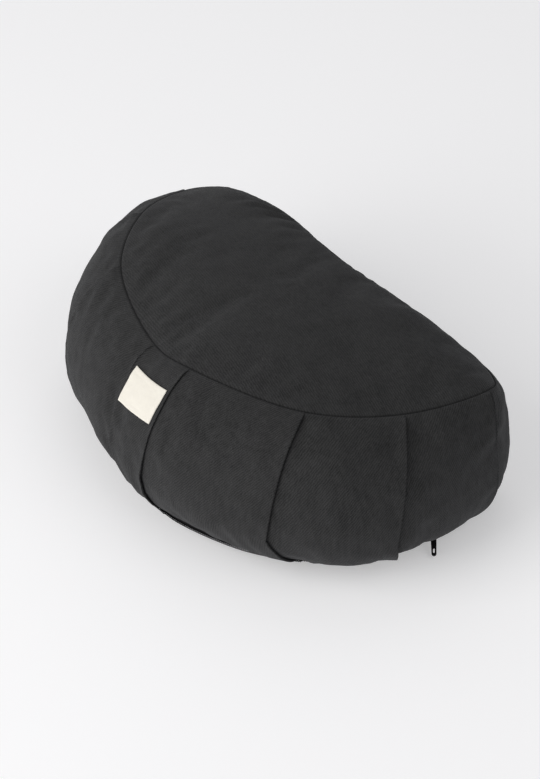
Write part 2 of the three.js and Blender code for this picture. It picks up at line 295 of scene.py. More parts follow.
# Grid of the cover: width of a column, how much longer the belly is than the top seam, how far from a
# fold a panel's own columns start, and the rows of each part.
COLUMN_PITCH = 2.8
BELLY_STRETCH = 1.2
FOLD_CLEAR = 4.2
CROWN_ROWS = 46
UPPER_WALL_ROWS = 46
LOWER_WALL_ROWS = 20
BASE_ROWS = 22

# Creases pressed into the wall: t and down at both ends, bend, half width and depth.
WALL_CREASES = [
    [0.33, 0.74, 0.86, 0.5, 4.0, 1.6, 0.35],
    [0.55, 0.62, 0.92, 0.3, -3.0, 2.0, 0.25],
    [0.95, 0.2, 0.7, 0.62, 3.0, 3.0, 0.3],
    [1.2, 1.15, 1.5, 1.4, 3.0, 2.0, 0.3],
    [3.05, 0.25, 3.3, 0.95, 6.0, 2.4, 1.1],
    [3.2, 0.9, 3.12, 1.5, -4.0, 2.6, 1.0],
    [2.85, 0.3, 2.6, 0.9, 4.0, 3.0, 0.35],
    [11.3, 0.3, 11.5, 0.9, 5.0, 2.6, 0.3],
    [10.2, 0.15, 10.6, 0.7, 4.0, 3.0, 0.4],
    [9.2, 0.1, 9.6, 0.6, 4.0, 2.4, 0.5],
    [6.2, 0.1, 6.05, 0.8, 4.0, 2.6, 0.8],
    [5.8, 0.1, 5.9, 0.7, -3.0, 2.6, 0.7],
    [6.5, 0.05, 6.7, 0.6, 4.0, 3.0, 0.6],
]

# Puckers pulled into the crown beside the hollow back: both ends, bend, half width and depth.
CROWN_PUCKERS = [
    [-112, 82, -82, 108, 2.0, 2.4, 1.6],
    [-92, 86, -66, 106, 1.5, 2.2, 1.8],
    [-128, 84, -98, 108, 2.0, 3.0, 0.7],
    [-70, 82, -50, 101, -1.0, 3.0, 0.7],
]

# A crease: the shares of its run where it starts, is full, starts to fade and ends, and the place,
# half width and height of the ridge beside it, as shares of its own.
CREASE_RUN = (-0.08, 0.25, 0.7, 1.08)
RIDGE_PLACE = 2.1
RIDGE_WIDTH = 1.4
RIDGE_HEIGHT = 0.55

# The studio, in metres: the floor, its glow, the world's light, and the lights. Each light has a
# direction from +X towards +Y, a height above the floor in degrees, and a power.
FLOOR_SIZE = 14.0
PAPER_GLOW = 0.31
WORLD_LIGHT = 0.3
LIGHT_DISTANCE = 2.6
LIGHT_SIZE = 2.0
LIGHT_AIM = Vector((0, 0, 0.05))
LIGHTS = {
    "window_light": (-108, 35, 28.0),
    "low_front_light": (-90, 14, 29.0),
    "back_light": (140, 50, 7.5),
    "side_light": (20, 40, 10.5),
}

# The camera: its direction and distance from the place it looks at, and its focal length.
AZIMUTH = math.radians(50.5)
ELEVATION = math.radians(40.3)
DISTANCE = 1.675
TARGET = Vector(((17.0 - MIDDLE[0]) * MM, (5.0 - MIDDLE[1]) * MM, 65.0 * MM))
FOCAL_PIXELS = 2000.0
FRAME_HEIGHT = 779.0
SENSOR_WIDTH = 36.0


def smoothstep(value, low, high):
    share = np.clip((np.asarray(value, float) - low) / (high - low), 0, 1)
    return share * share * (3 - 2 * share)


def closed_spline(points, t, centripetal):
    """Catmull-Rom spline through closed points, at places t counted in points."""
    t = np.asarray(t, float) % COUNT
    first = np.floor(t).astype(int) % COUNT
    w = (t - np.floor(t))[..., None]
    p0 = points[(first - 1) % COUNT]
    p1 = points[first]
    p2 = points[(first + 1) % COUNT]
    p3 = points[(first + 2) % COUNT]
    if centripetal:
        d0 = np.sqrt(np.linalg.norm(p1 - p0, axis=-1))[..., None]
        d1 = np.sqrt(np.linalg.norm(p2 - p1, axis=-1))[..., None]
        d2 = np.sqrt(np.linalg.norm(p3 - p2, axis=-1))[..., None]
        start = ((p1 - p0) / d0 - (p2 - p0) / (d0 + d1) + (p2 - p1) / d1) * d1
        end = ((p2 - p1) / d1 - (p3 - p1) / (d1 + d2) + (p3 - p2) / d2) * d1
    else:
        start = (p2 - p0) / 2
        end = (p3 - p1) / 2
    second = -3 * p1 + 3 * p2 - 2 * start - end
    third = 2 * p1 - 2 * p2 + start + end
    return p1 + start * w + second * w**2 + third * w**3


def seam(t):
    return closed_spline(PLACE, t, True)


def outward(t):
    step = 1e-3
    run = seam(np.asarray(t) + step) - seam(np.asarray(t) - step)
    out = np.stack([run[..., 1], -run[..., 0]], -1)
    return out / np.linalg.norm(out, axis=-1, keepdims=True)


def plain_wall(t, down):
    """Points and normals of the wall before it is swollen or folded."""
    t, down = np.broadcast_arrays(np.asarray(t, float), np.asarray(down, float))
    lean = closed_spline(LEAN, t, False)
    bow = closed_spline(BOW, t, False)[..., 0]
    place = t + lean[..., 0] * np.minimum(down, 1) + lean[..., 1] * np.maximum(down - 1, 0)
    place = place + bow * np.sin(np.pi * np.minimum(down, 1))
    top = seam(place)
    shape = closed_spline(SHAPE, place, False)
    belly = shape[..., 0]
    foot = shape[..., 1]
    out = outward(place)
    upper = down <= 1
    slope = np.where(upper, UPPER_ARC, LOWER_ARC) * (1 - down)
    stand = np.where(
        upper,
        belly * (np.cos(slope) - math.cos(UPPER_ARC)) / (1 - math.cos(UPPER_ARC)),
        belly - (belly - foot) * (1 - np.cos(slope)) / (1 - math.cos(LOWER_ARC)),
    )
    rise = np.where(
        upper,
        (top[..., 2] - BELLY_HEIGHT) / math.sin(UPPER_ARC),
        (BELLY_HEIGHT - LOWER_SEAM_HEIGHT) / math.sin(LOWER_ARC),
    )
    height = BELLY_HEIGHT + rise * np.sin(slope)
    points = np.concatenate([top[..., :2] + out * stand[..., None], height[..., None]], -1)
    normals = np.concatenate([out * np.cos(slope)[..., None], np.sin(slope)[..., None]], -1)
    return points, normals


def plain_crown(t, share):
    """Points of the crown: share is 0 at its middle and 1 at the top seam."""
    t, share = np.broadcast_arrays(np.asarray(t, float), np.asarray(share, float))
    edge = seam(t)
    fill = closed_spline(SHAPE, t, False)[..., 2]
    level = CROWN_CENTRE + (edge[..., :2] - CROWN_CENTRE) * share[..., None]
    height = CROWN_HEIGHT - (CROWN_HEIGHT - edge[..., 2]) * share**fill
    return np.concatenate([level, height[..., None]], -1)


def plain_base(foot, share):
    """Points of the base: share is 1 at the lower seam and 0 at its middle."""
    rolled = np.maximum((share - BASE_FLAT) / (1 - BASE_FLAT), 0) ** BASE_ROLL
    level = CROWN_CENTRE + (foot[..., :2] - CROWN_CENTRE) * share[..., None]
    return np.concatenate([level, (foot[..., 2] * rolled)[..., None]], -1)


def sewn(down):
    """How much of a pleat's height there is beside the seams, where it is sewn flat."""
    risen = smoothstep(down, 0, PLEAT_RISEN)
    return risen * (1 - FOOT_FLATTENED * smoothstep(down, FLATTENED_FROM, 2))


def pleat_height(i, down):
    lift, start, full, closing, closed = GAPE.get(i, (0, 0, 1, 2, 3))
    gape = smoothstep(down, start, full) * (1 - smoothstep(down, closing, closed))
    return TUCKS.get(i, TUCK) + lift * gape


def tuck(t, down):
    """Height of the raised panels over the plain wall, away from the folds themselves."""
    t, down = np.broadcast_arrays(np.asarray(t, float), np.asarray(down, float))
    height = np.zeros(t.shape)
    for i in PLEATS:
        past = (t - i + COUNT / 2) % COUNT - COUNT / 2
        inside = -past * FOLD[i]
        near = (inside > 0) & (inside < TUCK_REACH)
        height += np.where(near, pleat_height(i, down) * (1 - inside / TUCK_REACH) ** 2, 0)
    return height


def puff(t, down):
    place = np.asarray(t, float) % COUNT
    swell = PUFF[np.floor(place).astype(int) % COUNT] * np.sin(np.pi * (place % 1)) ** 2
    return swell * np.sin(np.pi / 2 * np.minimum(down, 1))


def speed(t, down):
    """Millimetres along the wall for one step of t."""
    step = 1e-3
    return np.linalg.norm(plain_wall(t + step, down)[0] - plain_wall(t, down)[0], axis=-1) / step


def side_speed(i, towards, down):
    """The same just before or just after a station."""
    return speed(float(i) if towards > 0 else i - 2e-3, down)


def waves(points, count, shortest, longest, seed):
    """Soft unevenness: a sum of waves whose directions and phases are drawn from a seed."""
    draw = np.random.default_rng(seed)
    points = np.asarray(points, float)
    size = points.shape[-1]
    total = np.zeros(points.shape[:-1])
    for _ in range(count):
        direction = draw.normal(size=size)
        direction /= np.linalg.norm(direction)
        length = shortest * (longest / shortest) ** draw.random()
        total += np.sin(points @ direction * (2 * np.pi / length) + draw.random() * 2 * np.pi)
    return total / math.sqrt(count / 2)


def crease(place, start, end, bend, half, depth):
    """Depth of a bent crease between two points of a plane, with a ridge beside it."""
    start = np.asarray(start, float)
    run = np.asarray(end, float) - start
    length = np.linalg.norm(run)
    run /= length
    offset = place - start
    share = (offset @ run) / length
    across = offset @ np.array([-run[1], run[0]]) - bend * 4 * share * (1 - share)
    begins, full, fading, ended = CREASE_RUN
    fade = smoothstep(share, begins, full) * (1 - smoothstep(share, fading, ended))
    groove = np.exp(-((across / half) ** 2))
    ridge = np.exp(-(((across - RIDGE_PLACE * half) / (RIDGE_WIDTH * half)) ** 2))
    return depth * fade * (groove - RIDGE_HEIGHT * ridge)


def seam_dip(distance):
    """How far the cloth is drawn in at a distance from a seam."""
    groove = (SEAM_DEPTH - PILLOW_DEPTH) * np.exp(-((distance / SEAM_GROOVE) ** 2))
    return groove + PILLOW_DEPTH * np.exp(-((distance / SEAM_PILLOW) ** 2))


# Places round the top seam, 100 to a station, and its length up to each.
SEAM_STEPS = np.linspace(0, COUNT, 100 * COUNT + 1)
SEAM_RUN = np.concatenate([
    [0], np.cumsum(np.linalg.norm(np.diff(seam(SEAM_STEPS), axis=0), axis=1))
])


def seam_length(t):
    """Millimetres along the top seam from the front pleat."""
    return np.interp(np.asarray(t, float) % COUNT, SEAM_STEPS, SEAM_RUN)


def seam_distances(down):
    """Millimetres of cloth between a place on the wall and the top seam, and the lower seam."""
    from_top = np.minimum(down, 1) * UPPER_RUN + np.maximum(down - 1, 0) * LOWER_RUN
    from_foot = np.maximum(2 - down, 0) * LOWER_RUN
    return from_top, from_foot


def gathers(t, distance, seed, strength):
    """Small ripples that run out of a seam where the cloth is eased into it."""
    edge = seam(t)
    ripple = waves(edge, count=8, shortest=5.5, longest=11, seed=seed)
    patch = np.clip(waves(edge, count=5, shortest=45, longest=120, seed=seed + 1), 0, 1.6)
    grown = smoothstep(distance, 0, GATHER_FULL)
    return strength * ripple * patch * grown * np.exp(-distance / GATHER_RUN)


def wall_lift(t, down, points):
    """Everything that lifts the wall's cloth off its plain shape, but the pleats' own edges."""
    from_top, from_foot = seam_distances(down)
    free = smoothstep(from_top, 0, WALL_SWELL_FULL) * smoothstep(from_foot, *FOOT_SWELL_FULL)
    swell = waves(points, count=14, shortest=46, longest=110, seed=3)
    ripple = waves(points, count=18, shortest=13, longest=30, seed=4)
    lift = WALL_SWELL * swell * free
    lift += WALL_RIPPLE * ripple * smoothstep(from_top, 0, RIPPLE_FULL)
    lift += gathers(t, from_top, seed=11, strength=TOP_GATHERS)
    lift += gathers(t, from_foot, seed=15, strength=FOOT_GATHERS)
    flat = np.stack([seam_length(t), from_top], -1)
    for t0, down0, t1, down1, bend, half, depth in WALL_CREASES:
        start = (float(seam_length(t0)), down0 * UPPER_RUN)
        end = (float(seam_length(t1)), down1 * UPPER_RUN)
        lift -= crease(flat, start, end, bend, half, depth)
    return lift - seam_dip(from_top) - seam_dip(from_foot)


def wall_surface(t, down):
    """Finished wall away from the folds, for the pieces that are sewn to it."""
    points, normals = plain_wall(t, down)
    lift = (tuck(t, down) + puff(t, down)) * sewn(down) + wall_lift(t, down, points)
    return points + normals * lift[..., None], normals


def grid_columns():
    """Columns in order along the outline: station, pleat and row of its section, or share of a panel."""
    columns = []
    for i in range(COUNT):
        if FOLD[i]:
            order = list(range(len(FOLD_SECTION)))
            columns += [(i, i, row) for row in (order if FOLD[i] > 0 else order[::-1])]
        span = float(seam_length(i + 1 - 1e-9) - seam_length(i))
        steps = max(4, round(span * BELLY_STRETCH / COLUMN_PITCH))
        inner = np.linspace(0, 1, steps + 1)
        if FOLD[(i + 1) % COUNT] == 0:
            inner = inner[:-1]
        columns += [(i, -1, share) for share in inner]
    return columns


def eased(count, even, power):
    """Places from 0 to 1 that start close together, apart from the share that is evenly spaced."""
    steps = np.linspace(0, 1, count)
    return even * steps + (1 - even) * steps**power


def fold_columns_at(columns, down):
    """Places t of all columns at one height of the wall, with the folds laid over there."""
    places = np.zeros(len(columns))
    laid = float(smoothstep(down, 0, FOLD_LAID) * (1 - smoothstep(down, FOLD_CAUGHT, 2)))
    speeds = {
        i: {side: float(side_speed(i, side, down)) for side in (-1, 1)} for i in PLEATS
    }
    for k, (panel, i, row) in enumerate(columns):
        if i < 0:
            after = (panel + 1) % COUNT
            start = FOLD_CLEAR / speeds[panel][1] if FOLD[panel] else 0.0
            end = FOLD_CLEAR / speeds[after][-1] if FOLD[after] else 0.0
            places[k] = panel + start + (1 - start - end) * row
            continue
        along = FLAT[row] * (1 - laid) + ALONG[row] * laid
        towards = -FOLD[i] if along > 0 else FOLD[i]
        places[k] = i + towards * abs(along) / speeds[i][towards]
    return places


def build_wall(columns, pleat, row_of):
    """The wall's heights, its columns' places, its points and normals, and where its foot would be."""
    upper = eased(UPPER_WALL_ROWS, even=0.35, power=1.7)
    lower = 2 - eased(LOWER_WALL_ROWS, even=0.5, power=1.7)[::-1]
    downs = np.concatenate([upper, lower[1:]])
    places = np.array([fold_columns_at(columns, down) for down in downs])
    down_grid = np.broadcast_to(downs[:, None], places.shape)
    points, normals = plain_wall(places, down_grid)
    height = tuck(places, down_grid)
    for k in np.where(pleat >= 0)[0]:
        i = pleat[k]
        if row_of[k] < UPPER_ROWS:
            inside = ALONG[row_of[k]] / side_speed(i, -FOLD[i], downs)
            height[:, k] = pleat_height(i, downs) * (1 - inside / TUCK_REACH) ** 2
        else:
            height[:, k] = pleat_height(i, downs) * SHARE[row_of[k]]
    lift = (height + puff(places, down_grid)) * sewn(down_grid)
    lift += wall_lift(places, down_grid, points)
    foot = points[-1] + normals[-1] * (height[-1] * sewn(2.0))[:, None]
    return downs, places, points + normals * lift[..., None], normals, foot


def crown_directions(places, share, from_seam):
    """The crown's normals, which turn into the seam's own slope beside it."""
    step = 0.004
    inner = np.maximum(share, 0.02)
    inward = plain_crown(places, inner - step) - plain_crown(places, inner + step)
    aside = plain_crown(places + step, inner) - plain_crown(places - step, inner)
    normals = np.cross(aside, inward)
    normals /= np.linalg.norm(normals, axis=-1, keepdims=True)
    out = outward(places[0])
    upward = np.full((len(out), 1), math.sin(SEAM_SLOPE))
    seam_normal = np.concatenate([out * math.cos(SEAM_SLOPE), upward], -1)
    blend = np.exp(-from_seam / SEAM_SLOPE_REACH)[..., None]
    normals = normals * (1 - blend) + seam_normal * blend
    return normals / np.linalg.norm(normals, axis=-1, keepdims=True)


def build_crown(places):
    """The crown's points from the top seam to its middle, and how far each lies from the seam."""
    share = 1 - eased(CROWN_ROWS, even=0.35, power=1.55)
    places = np.broadcast_to(places, (CROWN_ROWS, len(places)))
    share = np.broadcast_to(share[:, None], places.shape)
    crown = plain_crown(places, share)
    from_seam = (1 - share) * np.linalg.norm(seam(places[0])[:, :2] - CROWN_CENTRE, axis=1)
    swell = waves(crown, count=14, shortest=60, longest=140, seed=7)
    ripple = waves(crown, count=18, shortest=16, longest=34, seed=8)
    lift = CROWN_SWELL * swell * smoothstep(from_seam, 0, CROWN_SWELL_FULL)
    lift += CROWN_RIPPLE * ripple * smoothstep(from_seam, 0, RIPPLE_FULL)
    lift += gathers(places, from_seam, seed=19, strength=CROWN_GATHERS) - seam_dip(from_seam)
    for x0, y0, x1, y1, bend, half, depth in CROWN_PUCKERS:
        lift -= crease(crown[..., :2], (x0, y0), (x1, y1), bend, half, depth)
    crown = crown + crown_directions(places, share, from_seam) * lift[..., None]
    return crown, from_seam


def build_base(foot, normals):
    """The base's points from the lower seam to its middle, drawn in beside the seam."""
    share = 1 - eased(BASE_ROWS, even=0.3, power=1.7)
    base = plain_base(foot[None, :, :], share[:, None] * np.ones(len(foot)))
    from_seam = (1 - share)[:, None] * np.linalg.norm(foot[:, :2] - CROWN_CENTRE, axis=1)
    draw = seam_dip(from_seam) * smoothstep(base[..., 2], 0, ROLLED_EDGE)
    base -= normals[None, :, :] * draw[..., None]
    base[..., 2] = np.maximum(base[..., 2], 0)
    return base


def build_cover_grid():
    """All points of the cover in rings, with the pleat and row of its section for each column."""
    columns = grid_columns()
    pleat = np.array([column[1] for column in columns])
    row_of = np.array([column[2] if column[1] >= 0 else -1 for column in columns])
    downs, places, wall, normals, foot = build_wall(columns, pleat, row_of)
    crown, from_seam = build_crown(places[0])
    wall[0] = crown[0]
    return {
        "pleat": pleat, "row_of": row_of, "downs": downs, "places": places, "wall": wall,
        "crown": crown, "from_seam": from_seam, "base": build_base(foot, normals[-1]),
    }


def turned(u, v, angle):
    """Flat places turned so that the first runs across the twill lines and the second along."""
    across = -u * math.sin(angle) + v * math.cos(angle)
    along = u * math.cos(angle) + v * math.sin(angle)
    return np.stack([across, along], -1)


def wall_cloth_places(grid):
    """Flat places of the wall's cloth: along the outline from a panel's middle, and down."""
    wall = grid["wall"]
    rows, count, _ = wall.shape
    across = np.linalg.norm(wall - np.roll(wall, 1, axis=1), axis=-1)
    downward = np.zeros((rows, count))
    downward[1:] = np.cumsum(np.linalg.norm(np.diff(wall, axis=0), axis=-1), axis=0)
    breaks = np.where((grid["pleat"] >= 0) & (grid["row_of"] == DEEPEST))[0]
    run = np.zeros((rows, count))
    for n, start in enumerate(breaks):
        end = breaks[(n + 1) % len(breaks)]
        members = np.arange(start, end if end > start else end + count) % count
        lengths = np.cumsum(across[:, members], axis=1)
        lengths -= lengths[:, :1]
        middle = len(members) // 2
        run[:, members] = lengths - lengths[:, middle : middle + 1] + PANEL_SHIFT * n
    return run, downward


def lay_twill(mesh, grid, rings, middles):
    """Flat places of the twill: from above on the crown and the base, along the cloth on the wall."""
    first_wall = len(grid["crown"]) - 1
    last_wall = first_wall + len(grid["wall"]) - 1
    run, downward = wall_cloth_places(grid)
    from_above = turned(rings[..., 0], rings[..., 1], CROWN_TWILL)
    on_wall = turned(run, -downward, WALL_TWILL)
    count = rings.shape[1]
    k = np.arange(count)
    after = (k + 1) % count
    blocks = []
    for r in range(len(rings) - 1):
        if first_wall <= r < last_wall:
            upper, lower = on_wall[r - first_wall : r - first_wall + 2]
        else:
            upper, lower = from_above[r : r + 2]
        block = np.stack([upper[k], lower[k], lower[after], upper[after]], 1)
        blocks.append(block.reshape(-1, 2))
    for middle, ring, one, two in (
        (middles[0], from_above[0], k, after),
        (middles[1], from_above[-1], after, k),
    ):
        centre = np.broadcast_to(turned(middle[0], middle[1], CROWN_TWILL), (count, 2))
        blocks.append(np.stack([centre, ring[one], ring[two]], 1).reshape(-1, 2))
    layer = mesh.uv_layers.new(name="cloth")
    layer.data.foreach_set("uv", (np.concatenate(blocks) * MM).ravel())


def mark_painted_light_and_shade(mesh, grid):
    """Marks the painted shade in the seams and folds, and the painted highlight and shade line along the
    folds' edges and the top seam's lip.
    """
    pleat = grid["pleat"]
    downs = grid["downs"]
    from_top, from_foot = seam_distances(downs)
    from_seam = grid["from_seam"][::-1][1:]
    laid = smoothstep(downs, 0, SHADE_LAID) * (1 - smoothstep(downs, FOLD_CAUGHT, 2))

    in_fold = np.where(pleat >= 0, SHADE[grid["row_of"]], 0.0)
    seam_shade = np.maximum(
        np.exp(-((from_top / TOP_SHADE) ** 2)), np.exp(-((from_foot / FOOT_SHADE) ** 2))
    )
    wall_painted_shade = np.maximum(in_fold[None, :] * laid[:, None], seam_shade[:, None])
    crown_painted_shade = np.exp(-((from_seam / TOP_SHADE) ** 2))

    # Painted highlight along the folds' edges, which turns into a painted shade line down to dark_to.
    light = np.array([EDGE_LIGHT.get(int(i), EDGE_TRACE) for i in pleat])
    on_edge = np.where(pleat >= 0, EDGE_HIGHLIGHT_SHARE[grid["row_of"]], 0.0) * light
    dark_to = np.array([EDGE_DARK.get(int(i), -1.0) for i in pleat])
    darker = 1 - smoothstep(downs[:, None] - dark_to[None, :], 0, EDGE_DARK_FADE)
    wall_painted_edges = on_edge[None, :] * laid[:, None] * (1 - (1 + EDGE_DARKER) * darker)
    # Painted highlight on the lip beside the top seam.
    lip = EDGE_TRACE * np.exp(-(((from_top - LIP_PLACE) / LIP_WIDTH) ** 2))[:, None]
    wall_painted_edges = np.where(np.abs(wall_painted_edges) > lip, wall_painted_edges, lip)
    crown_painted_lip = EDGE_TRACE * np.exp(-(((from_seam - LIP_PLACE) / LIP_WIDTH) ** 2))

    # The base and the two middles have neither.
    plain = np.zeros((len(grid["base"]) - 2) * len(pleat) + 2)
    for name, crown, wall in (("painted_shade", crown_painted_shade, wall_painted_shade), ("painted_edge_light_and_shade", crown_painted_lip, wall_painted_edges)):
        values = np.concatenate([crown.ravel(), wall.ravel(), plain])
        attribute = mesh.attributes.new(name, "FLOAT", "POINT")
        attribute.data.foreach_set("value", values.astype(np.float32))


def make_cover(grid):
    """The cover: rings of points from the crown's middle down to the base's, closed at both ends."""
    # The top seam's ring comes twice, for the crown and for the wall, so that the line stays sharp.
    rings = np.concatenate([grid["crown"][::-1][1:], grid["wall"], grid["base"][1:-1]])
    middles = [grid["crown"][-1].mean(axis=0), grid["base"][-1].mean(axis=0)]
    points = (np.concatenate([rings.reshape(-1, 3), middles]) - MIDDLE) * MM
    count = rings.shape[1]
    k = np.arange(count)
    after = (k + 1) % count
    faces = []
    for r in range(len(rings) - 1):
        a = r * count
        b = a + count
        faces += np.stack([a + k, b + k, b + after, a + after], -1).tolist()
    top = len(rings) * count
    last = top - count
    faces += [[top, int(n), int(m)] for n, m in zip(k, after)]
    faces += [[top + 1, int(last + m), int(last + n)] for n, m in zip(k, after)]
    mesh = bpy.data.meshes.new("cushion_cover")
    mesh.from_pydata(points.tolist(), [], faces)
    lay_twill(mesh, grid, rings, middles)
    mark_painted_light_and_shade(mesh, grid)
    return smooth_piece("cushion_cover", mesh)


def held_by_sewing(grid):
    """How firmly each point of the cover is held, at a seam, a fold or the label or on the floor."""
    from_top, from_foot = seam_distances(grid["downs"])
    from_seam = grid["from_seam"][::-1][1:]
    crown = 1 - smoothstep(from_seam, 0, HELD_REACH)
    at_seam = 1 - smoothstep(np.minimum(from_top, from_foot), 0, HELD_REACH)
    wall = np.maximum(at_seam[:, None], FOLD_HELD * (grid["pleat"] >= 0)[None, :])
    beside_label = grid["places"] % COUNT > LABEL_CORNERS[:, 0].min()
    over_label = grid["downs"] < LABEL_CORNERS[:, 1].max()
    wall = np.where(beside_label & over_label[:, None], 1.0, wall)
    base = np.ones((len(grid["base"]) - 2) * wall.shape[1])
    # The crown's middle is free, and the base's is held.
    return np.concatenate([crown.ravel(), wall.ravel(), base, [0, 1]])


class Nodes:
    """A short way to add nodes to a tree and to link them."""

    def __init__(self, tree):
        self.tree = tree

    def add(self, kind, **settings):
        node = self.tree.nodes.new(kind)
        for name, value in settings.items():
            setattr(node, name, value)
        return node

    def link(self, source, target):
        self.tree.links.new(source, target)

    def put(self, value, target):
        if isinstance(value, bpy.types.NodeSocket):
            self.link(value, target)
        else:
            target.default_value = value

    def math(self, operation, first, second=0.0, third=None):
        node = self.add("ShaderNodeMath", operation=operation)
        self.put(first, node.inputs[0])
        self.put(second, node.inputs[1])
        if third is not None:
            self.put(third, node.inputs[2])
        return node.outputs[0]

    def noise(self, vector, scale, detail=2.0, roughness=0.5):
        node = self.add("ShaderNodeTexNoise")
        self.put(vector, node.inputs["Vector"])
        node.inputs["Scale"].default_value = scale
        node.inputs["Detail"].default_value = detail
        node.inputs["Roughness"].default_value = roughness
        return node.outputs["Fac"]

    def spread(self, value, low, high, to_low=0.0, to_high=1.0):
        node = self.add("ShaderNodeMapRange")
        self.put(value, node.inputs["Value"])
        node.inputs["From Min"].default_value = low
        node.inputs["From Max"].default_value = high
        node.inputs["To Min"].default_value = to_low
        node.inputs["To Max"].default_value = to_high
        return node.outputs["Result"]


def weave_group():
    """Woven cloth: ribs across the first flat place, threads across the second, and fuzz over both."""
    group = bpy.data.node_groups.new("woven_cloth", "ShaderNodeTree")
    for name, kind, value in (
        ("Flat place", "NodeSocketVector", None),
        ("Solid place", "NodeSocketVector", None),
        ("Ribs per metre", "NodeSocketFloat", 500.0),
        ("Threads per metre", "NodeSocketFloat", 900.0),
        ("Rib share", "NodeSocketFloat", 0.5),
        ("Thread share", "NodeSocketFloat", 0.3),
        ("Fuzz share", "NodeSocketFloat", 0.5),
    ):
        made = group.interface.new_socket(name=name, in_out="INPUT", socket_type=kind)
        if value is not None:
            made.default_value = value
    group.interface.new_socket(name="Height", in_out="OUTPUT", socket_type="NodeSocketFloat")
    n = Nodes(group)
    given = n.add("NodeGroupInput").outputs
    result = n.add("NodeGroupOutput").inputs
    wander = n.noise(given["Flat place"], scale=260.0, detail=1.0)
    parts = n.add("ShaderNodeSeparateXYZ")
    n.link(given["Flat place"], parts.inputs[0])
    rib_turn = n.math("MULTIPLY_ADD", parts.outputs[0], given["Ribs per metre"], wander)
    rib_wave = n.math("SINE", n.math("MULTIPLY", rib_turn, 2 * math.pi))
    thread_turn = n.math("MULTIPLY_ADD", parts.outputs[1], given["Threads per metre"], wander)
    half_rib = n.math("MULTIPLY_ADD", parts.outputs[0], given["Ribs per metre"], thread_turn)
    thread_wave = n.math("SINE", n.math("MULTIPLY", half_rib, 2 * math.pi))
    specks = n.noise(given["Solid place"], scale=1100.0, roughness=0.6)
    fuzz = n.spread(specks, low=0.3, high=0.7, to_low=-1.0)
    height = n.math("MULTIPLY", rib_wave, given["Rib share"])
    height = n.math("MULTIPLY_ADD", thread_wave, given["Thread share"], height)
    height = n.math("MULTIPLY_ADD", fuzz, given["Fuzz share"], height)
    n.link(height, result["Height"])
    return group


def new_material(name):
    material = bpy.data.materials.new(name)
    material.use_nodes = True
    nodes = Nodes(material.node_tree)
    shader = material.node_tree.nodes["Principled BSDF"]
    return material, nodes, shader


def woven(n, weave, values):
    """Places the weave in a material with its own values. Returns its height and the solid places."""
    cloth = n.add("ShaderNodeGroup", node_tree=weave)
    solid = n.add("ShaderNodeTexCoord").outputs["Object"]
    n.link(n.add("ShaderNodeUVMap", uv_map="cloth").outputs[0], cloth.inputs["Flat place"])
    n.link(solid, cloth.inputs["Solid place"])
    for name, value in values.items():
        cloth.inputs[name].default_value = value
    return cloth.outputs["Height"], solid


def finish_cloth(n, shader, colour, tone, height, strength, distance):
    """Gives a cloth its colour, made lighter and darker by its tone, and the relief of its threads."""
    coloured = n.add("ShaderNodeCombineColor")
    for channel, share in enumerate(colour):
        n.link(n.math("MULTIPLY", tone, share), coloured.inputs[channel])
    n.link(coloured.outputs[0], shader.inputs["Base Color"])
    bump = n.add("ShaderNodeBump")
    bump.inputs["Strength"].default_value = strength
    bump.inputs["Distance"].default_value = distance
    n.link(height, bump.inputs["Height"])
    n.link(bump.outputs[0], shader.inputs["Normal"])


def charcoal_twill(weave):
    """Brushed cotton twill: charcoal, matt, slightly mottled, with fuzz that catches low light."""
    material, n, shader = new_material("charcoal_twill")
    height, solid = woven(n, weave, TWILL_WEAVE)
    spots = n.noise(solid, scale=75.0, detail=4.0, roughness=0.62)
    mottle = n.spread(spots, low=0.25, high=0.75, to_low=-1.0)
    cloud = n.spread(n.noise(solid, scale=14.0), low=0.25, high=0.75, to_low=-1.0)
    # Slubs are noise drawn out upwards.
    stretch = n.add("ShaderNodeVectorMath", operation="MULTIPLY")
    n.link(solid, stretch.inputs[0])
    stretch.inputs[1].default_value = (1.0, 1.0, 0.14)
    streaks = n.noise(stretch.outputs[0], scale=330.0)
    slub = n.spread(streaks, low=0.3, high=0.7, to_low=-1.0)
    # Painted highlight and shade line along the folds' edges, and painted shade in the folds and seams.
    painted_edge_light_and_shade = n.add("ShaderNodeAttribute", attribute_name="painted_edge_light_and_shade").outputs["Fac"]
    painted_shade = n.add("ShaderNodeAttribute", attribute_name="painted_shade").outputs["Fac"]
    tone = n.math("MULTIPLY_ADD", height, THREAD_TONE, 1.0)
    for value, share in (
        (mottle, MOTTLE_TONE), (slub, SLUB_TONE), (cloud, CLOUD_TONE), (painted_edge_light_and_shade, PAINTED_EDGE_TONE)
    ):
        tone = n.math("MULTIPLY_ADD", value, share, tone)
    tone = n.math("MULTIPLY", tone, n.math("MULTIPLY_ADD", painted_shade, PAINTED_SHADE_TONE, 1.0))
    finish_cloth(n, shader, CHARCOAL, tone, height, strength=0.5, distance=0.4 * MM)
    shader.inputs["Roughness"].default_value = 0.95
    shader.inputs["Specular IOR Level"].default_value = 0.15
    shader.inputs["Sheen Weight"].default_value = 0.09
    shader.inputs["Sheen Roughness"].default_value = 0.55
    shader.inputs["Sheen Tint"].default_value = (0.85, 0.86, 0.9, 1)
    return material


